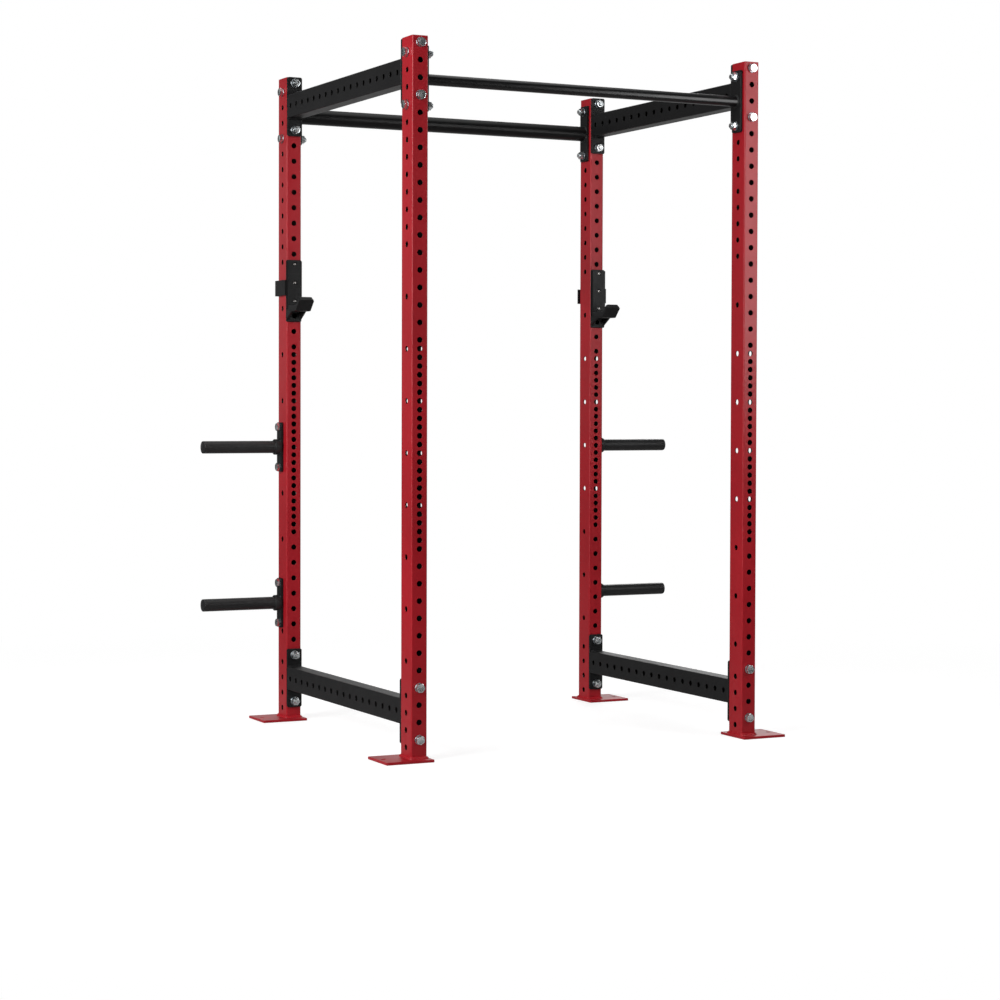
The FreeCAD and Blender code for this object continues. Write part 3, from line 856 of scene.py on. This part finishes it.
def swept(bm, outline, xs, side, moved):
    """A (y, z) outline skinned between several x stations, then capped. moved(i, x, y, z) shifts its points."""
    rows = []
    for x in xs:
        rows.append([bm.verts.new((side * x, *moved(i, x, y, z))) for i, (y, z) in enumerate(outline)])
    for a, b in zip(rows, rows[1:]):
        for i in range(len(a)):
            j = (i + 1) % len(a)
            bm.faces.new((a[i], a[j], b[j], b[i]))
    bm.faces.new(rows[0])
    bm.faces.new(rows[-1])


def arc(centre, radius, steps):
    """Quarter of a circle from the first axis to the second."""
    turns = [math.radians(90 * i / steps) for i in range(steps + 1)]
    return [(centre[0] + radius * math.cos(a), centre[1] + radius * math.sin(a)) for a in turns]


def corner_fillet(before, corner, after, radius, steps):
    """Points of a fillet at a corner of an outline."""
    p, a, b = Vector(corner), Vector(before), Vector(after)
    u, v = (a - p).normalized(), (b - p).normalized()
    half = u.angle(v) / 2
    reach = radius / math.tan(half)
    centre = p + (u + v).normalized() * (radius / math.sin(half))
    first, last = p + u * reach - centre, p + v * reach - centre
    turn = first.angle_signed(last)
    out = []
    for i in range(steps + 1):
        t = -turn * i / steps
        out.append((centre.x + first.x * math.cos(t) - first.y * math.sin(t),
                    centre.y + first.x * math.sin(t) + first.y * math.cos(t)))
    return out


def edge_stations(x0, x1):
    """x stations, dense inside the lip's corner radius at each side."""
    inside = [LIP_CORNER_R * (1 - math.cos(QUARTER * i / 6)) for i in range(7)]
    return [x0 + d for d in inside] + [x1 - d for d in reversed(inside)]


def lowered(flagged, x0, x1, up):
    """Round the lip's upper corners: flagged points fall back along it near its sides."""
    def moved(i, x, y, z):
        d = min(x - x0, x1 - x)
        if i in flagged and d < LIP_CORNER_R:
            fall = LIP_CORNER_R - math.sqrt(max(0.0, LIP_CORNER_R ** 2 - (LIP_CORNER_R - d) ** 2))
            return y - up.x * fall, z - up.y * fall
        return y, z
    return moved


def build_face(cup, screws):
    """Face plate and its countersunk liner."""
    heights = [float((p.min(0) + p.max(0))[2] / 2) for p in screws]
    centre, half = centre_and_half(f"{cup}_face_plate")
    holes = [(0, z - centre.z, SCREW_HOLE_R) for z in heights]
    bm = bmesh.new()
    flat_slab(bm, rounded_outline(half.x, half.z, CUP_PLATE_CORNER_R), holes, 2 * half.y, PLATE_BEVEL,
              axes(X, Z, centre))
    put(f"{cup}_face_plate_bevelled", bm, [BLACK], cup, (f"{cup}_face_plate",))

    centre, half = centre_and_half(f"{cup}_back_liner")
    low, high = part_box(f"{cup}_back_liner")
    outline = rounded_outline(half.x, half.z, 2.5 * MM)
    middle_y = low.y + SINK_DEPTH
    bm = bmesh.new()
    for y0, y1, depth, hole_r, bevel in ((low.y, middle_y, SINK_DEPTH, SINK_R, 0.7 * MM),
                                         (middle_y, high.y, high.y - middle_y, SCREW_HOLE_R, 0.3 * MM)):
        flat_slab(bm, outline, [(0, z - centre.z, hole_r) for z in heights], depth, bevel,
                  axes(X, Z, (centre.x, (y0 + y1) / 2, centre.z)))
    put(f"{cup}_back_liner_pad", bm, [LINER], cup, (f"{cup}_back_liner",))


def build_screws(cup, screws):
    """Button-head socket screws."""
    bm = bmesh.new()
    socket_floor = SCREW_HEAD_H - SOCKET_DEPTH
    for i, points in enumerate(screws):
        low, high = points.min(0), points.max(0)
        seat = Vector(((low[0] + high[0]) / 2, low[1] + SCREW_HEAD_H, (low[2] + high[2]) / 2))
        shank = high[1] - seat.y
        rings = [(0, socket_floor), lambda a: (hex_radius(SOCKET_FLATS, a), socket_floor),
                 lambda a: (hex_radius(SOCKET_FLATS, a), SCREW_HEAD_H - 0.2 * MM), (SCREW_CROWN_R, SCREW_HEAD_H)]
        for s in range(1, 7):
            a = s / 6 * QUARTER
            rings.append((SCREW_CROWN_R + (SCREW_HEAD_R - SCREW_CROWN_R) * math.sin(a),
                          SCREW_HEAD_H - (SCREW_HEAD_H - 0.8 * MM) * (1 - math.cos(a))))
        rings += [(SCREW_HEAD_R, 0.2 * MM), (SCREW_HEAD_R - 0.2 * MM, 0), (SCREW_SHANK_R, 0),
                  (SCREW_SHANK_R, -shank + 0.5 * MM), (2.5 * MM, -shank), (0, -shank)]
        turned(bm, rings, placed(seat, -Y, math.radians(i * 19)))
    put(f"{cup}_button_screws", bm, [SCREW], cup, (f"{cup}_liner_screws",))


def build_hook(cup, side):
    """Hook bent from one plate with its lip at 45 degrees, and the pad that lies in it."""
    low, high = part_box(f"{cup}_hook")
    pad_low, pad_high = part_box(f"{cup}_hook_liner")
    back_y, pad_back, floor_top = high.y, pad_high.y, pad_low.z
    lean = math.sin(TAU / 8)
    up, into = Vector((-lean, lean)), Vector((lean, lean))
    outer_top = Vector((low.y, high.z - LIP_T * lean))
    inner_top = outer_top + into * LIP_T
    pad_top = outer_top + into * 2 * LIP_T

    def lip_line(top, z):
        """Where the line down the lip from a point of its top reaches a height."""
        return top + up * ((z - top.y) / up.y)

    def finish(outline, tops, x0, x1, name, material, slot, node_name, bevel):
        bm = bmesh.new()
        swept(bm, outline, edge_stations(x0, x1), side, lowered(tops, x0, x1, up))
        put(name, bm, [material], cup, (node_name,), bevel=bevel)

    start = (back_y, low.z)
    bend_out = corner_fillet(start, (outer_top.x + outer_top.y - low.z, low.z), outer_top, HOOK_BEND_R, 5)
    bend_in = corner_fillet(inner_top, lip_line(inner_top, floor_top), (back_y, floor_top), INNER_BEND_R, 3)
    outline = [start] + bend_out + [tuple(outer_top), tuple(inner_top)] + bend_in + [(back_y, floor_top)]
    finish(outline, {1 + len(bend_out), 2 + len(bend_out)}, *x_span(f"{cup}_face_plate"),
           f"{cup}_bent_hook", BLACK, "black_powder_coat", f"{cup}_hook", 0.7 * MM)

    seat_z = floor_top + PAD_FLOOR_T
    under = corner_fillet(inner_top, lip_line(inner_top, floor_top), (pad_back, floor_top), INNER_BEND_R, 3)
    seat = corner_fillet(pad_top, lip_line(pad_top, seat_z), (pad_back, seat_z), PAD_BEND_R, 6)
    outline = [(pad_back, floor_top)] + under[::-1] + [tuple(inner_top), tuple(pad_top)] + seat + [(pad_back, seat_z)]
    finish(outline, {1 + len(under), 2 + len(under)}, *x_span(f"{cup}_hook_liner"),
           f"{cup}_hook_pad", LINER, "black_liner_plastic", f"{cup}_hook_liner", 1.0 * MM)


def build_gussets_and_strap(cup, side):
    bm = bmesh.new()
    for points in islands(f"{cup}_gussets"):
        low, high = points.min(0), points.max(0)
        shape = [(low[1], high[2]), (high[1], high[2]), (high[1], low[2])]
        flat_slab(bm, shape, [], high[0] - low[0], 0.6 * MM, axes(Y, Z, ((low[0] + high[0]) / 2, 0, 0)))
    put(f"{cup}_gusset_pair", bm, [BLACK], cup, (f"{cup}_gussets",))

    low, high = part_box(f"{cup}_strap")
    x0, x1 = x_span(f"{cup}_strap")
    t, outer, inner = STRAP_T, STRAP_OUTER_BEND_R, STRAP_INNER_BEND_R
    shape = ([(x1 - t, low.y), (x1, low.y)] + arc((x1 - outer, high.y - outer), outer, 8)
             + [(x0, high.y), (x0, high.y - t)] + arc((x1 - t - inner, high.y - t - inner), inner, 5)[::-1])
    bm = bmesh.new()
    flat_slab(bm, [(side * x, y) for x, y in shape], [], high.z - low.z, 0.7 * MM,
              Matrix.Translation((0, 0, (low.z + high.z) / 2)))
    put(f"{cup}_bent_strap", bm, [BLACK], cup, (f"{cup}_strap",))


def build_cup_welds(cup, side):
    """A bead under the hook and one down each gusset, on the face plate."""
    x0, x1 = x_span(f"{cup}_face_plate")
    face_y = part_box(f"{cup}_face_plate")[0].y
    hook_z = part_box(f"{cup}_hook")[0].z
    bm = bmesh.new()
    line = [Vector((side * x, face_y, hook_z)) for x in (x0 + 7 * MM, x1 - 7 * MM)]
    weld(bm, line, [-Z] * 2, -Y, 4 * MM, False)
    for x, out in ((x0 + 6 * MM, X), (x1 - 6 * MM, -X)):
        line = [Vector((side * x, face_y, z)) for z in (hook_z - 5 * MM, hook_z - 26 * MM)]
        weld(bm, line, [out * side] * 2, -Y, 3 * MM, False)
    put(f"{cup}_welds", bm, [BLACK], cup, angle=WELD_ANGLE)


for side_name, side in SIDES.items():
    cup = f"jcup_{side_name}"
    screws = islands(f"{cup}_liner_screws")
    build_face(cup, screws)
    build_screws(cup, screws)
    build_hook(cup, side)
    build_gussets_and_strap(cup, side)
    build_cup_welds(cup, side)


# ---------------------------------------------------------------- CAD nodes that stay

for row in frame["record"]["subparts"]:
    shown = frame["nodes"][row["node"]]
    if shown.hide_render:
        continue
    shown.data.materials.clear()
    shown.data.materials.append(SLOT_OF[row["material_slot"]])


# ---------------------------------------------------------------- stage, light and camera

WHITE = (1, 1, 1, 1)
FLOOR_RADIUS = 60
FLOOR_DROP = 0.5 * MM
FLOOR_FADE = (1.0, 3.5)
FLOOR_ALBEDO, FLOOR_LIFT = 0.45, 0.72
FLOOR_GLOW = (0.06, 0.55)
WORLD_GLOW = (0.035, 0.60)
BACKDROP_WAY = (0.45, 0.89, 0.08)
BACKDROP_SPREAD = (0.62, 0.96)


def vector_math(tree, operation, vector):
    made = tree.nodes.new("ShaderNodeVectorMath")
    made.operation = operation
    tree.links.new(vector, made.inputs[0])
    return made


def toward_backdrop(tree, where, low, high):
    """A value that rises from low to high as a direction turns to the backdrop."""
    unit = vector_math(tree, "NORMALIZE", where)
    way = vector_math(tree, "DOT_PRODUCT", unit.outputs["Vector"])
    way.inputs[1].default_value = BACKDROP_WAY
    return spread(tree, way.outputs["Value"], low, high, *BACKDROP_SPREAD, smooth=True)


def mix_shaders(tree, fac, first, second):
    made = tree.nodes.new("ShaderNodeMixShader")
    for socket, source in zip(made.inputs, (fac, first, second)):
        tree.links.new(source, socket)
    return made.outputs[0]


def stage_floor():
    """A pale floor that fades to the white surround; the lift to white is for the camera only."""
    material, tree, shader, where = new_material("floor")
    seen = tree.nodes.new("ShaderNodeLightPath").outputs["Is Camera Ray"]
    connect(tree, shader, Base_Color=(FLOOR_ALBEDO, FLOOR_ALBEDO, FLOOR_ALBEDO, 1), Roughness=0.8,
            Specular_IOR_Level=0.1, Emission_Color=WHITE, Emission_Strength=spread(tree, seen, 0.0, FLOOR_LIFT))
    away = vector_math(tree, "LENGTH", where).outputs["Value"]
    fade = spread(tree, away, 0.0, 1.0, *FLOOR_FADE, smooth=True)
    strength = spread(tree, seen, toward_backdrop(tree, where, *FLOOR_GLOW), 1.0)
    white = node(tree, "ShaderNodeEmission", Color=WHITE, Strength=strength)
    connect(tree, tree.nodes["Material Output"],
            Surface=mix_shaders(tree, fade, shader.outputs[0], white.outputs[0]))
    bm = bmesh.new()
    bmesh.ops.create_circle(bm, cap_ends=True, segments=96, radius=FLOOR_RADIUS)
    mesh = bpy.data.meshes.new("floor")
    bm.to_mesh(mesh)
    bm.free()
    mesh.materials.append(material)
    floor = add_object("floor", mesh)
    floor.location = (0, 0, CAD_BOX[0].z - FLOOR_DROP)


def softbox(name, place, aim, width, height, power):
    light = bpy.data.lights.new(name, "AREA")
    light.shape, light.size, light.size_y = "RECTANGLE", width, height
    light.energy = power
    made = add_object(name, light)
    made.location = place
    made.rotation_euler = (Vector(aim) - Vector(place)).to_track_quat("-Z", "Y").to_euler()
    made.visible_camera = False


def world():
    """White to the camera; as a light it is dim, and brighter low behind the cage like a lit backdrop."""
    made = bpy.data.worlds.new("studio")
    bpy.context.scene.world = made
    made.use_nodes = True
    tree = made.node_tree
    tree.nodes.clear()
    where = tree.nodes.new("ShaderNodeTexCoord").outputs["Generated"]
    light = node(tree, "ShaderNodeBackground", Color=WHITE, Strength=toward_backdrop(tree, where, *WORLD_GLOW))
    white = node(tree, "ShaderNodeBackground", Color=WHITE, Strength=1.0)
    seen = tree.nodes.new("ShaderNodeLightPath").outputs["Is Camera Ray"]
    node(tree, "ShaderNodeOutputWorld", Surface=mix_shaders(tree, seen, light.outputs[0], white.outputs[0]))


CAMERA_AT = Vector((-3.3396, -6.6748, 1.0308))
CAMERA_YAW, CAMERA_PITCH, CAMERA_ROLL = 0.4672, -0.0253, -0.0030
CAMERA_LENS, CAMERA_SHIFT = 84.54, (-0.0184, -0.0368)


def camera():
    data = bpy.data.cameras.new("camera")
    data.sensor_width, data.lens = 36, CAMERA_LENS
    data.shift_x, data.shift_y = CAMERA_SHIFT
    data.clip_start, data.clip_end = 0.1, 200
    made = add_object("camera", data)
    right = Vector((math.cos(CAMERA_YAW), -math.sin(CAMERA_YAW), 0))
    ahead = Vector((math.sin(CAMERA_YAW), math.cos(CAMERA_YAW), 0))
    up = Z * math.cos(CAMERA_PITCH) - ahead * math.sin(CAMERA_PITCH)
    view = Z * math.sin(CAMERA_PITCH) + ahead * math.cos(CAMERA_PITCH)
    x_axis = right * math.cos(CAMERA_ROLL) - up * math.sin(CAMERA_ROLL)
    y_axis = right * math.sin(CAMERA_ROLL) + up * math.cos(CAMERA_ROLL)
    turn = Matrix((x_axis, y_axis, -view)).transposed().to_4x4()
    turn.translation = CAMERA_AT
    made.matrix_world = turn
    bpy.context.scene.camera = made


stage_floor()
world()
softbox("key_left", (-4.9, -1.6, 2.5), (-0.2, 0, 1.25), 2.4, 3.2, 255)
softbox("front_fill", (-2.4, -7.0, 2.6), (0, 0, 1.0), 3.0, 2.0, 49)
softbox("front_right", (1.25, -1.85, 1.75), (0.56, -0.53, 1.75), 0.6, 1.35, 16)
softbox("side_right", (4.6, -2.4, 2.3), (0.5, -0.3, 1.7), 1.6, 1.6, 18)
softbox("back_left", (-1.75, 4.6, 1.7), (-0.4, 0.4, 1.3), 0.9, 1.6, 2)
softbox("back_right", (3.4, 4.6, 3.2), (0, 0, 1.1), 2.2, 2.2, 60)
softbox("overhead", (0, 0, 5.2), (0, 0, 0), 4.0, 4.0, 70)
camera()
bpy.context.scene.view_settings.view_transform = "Standard"
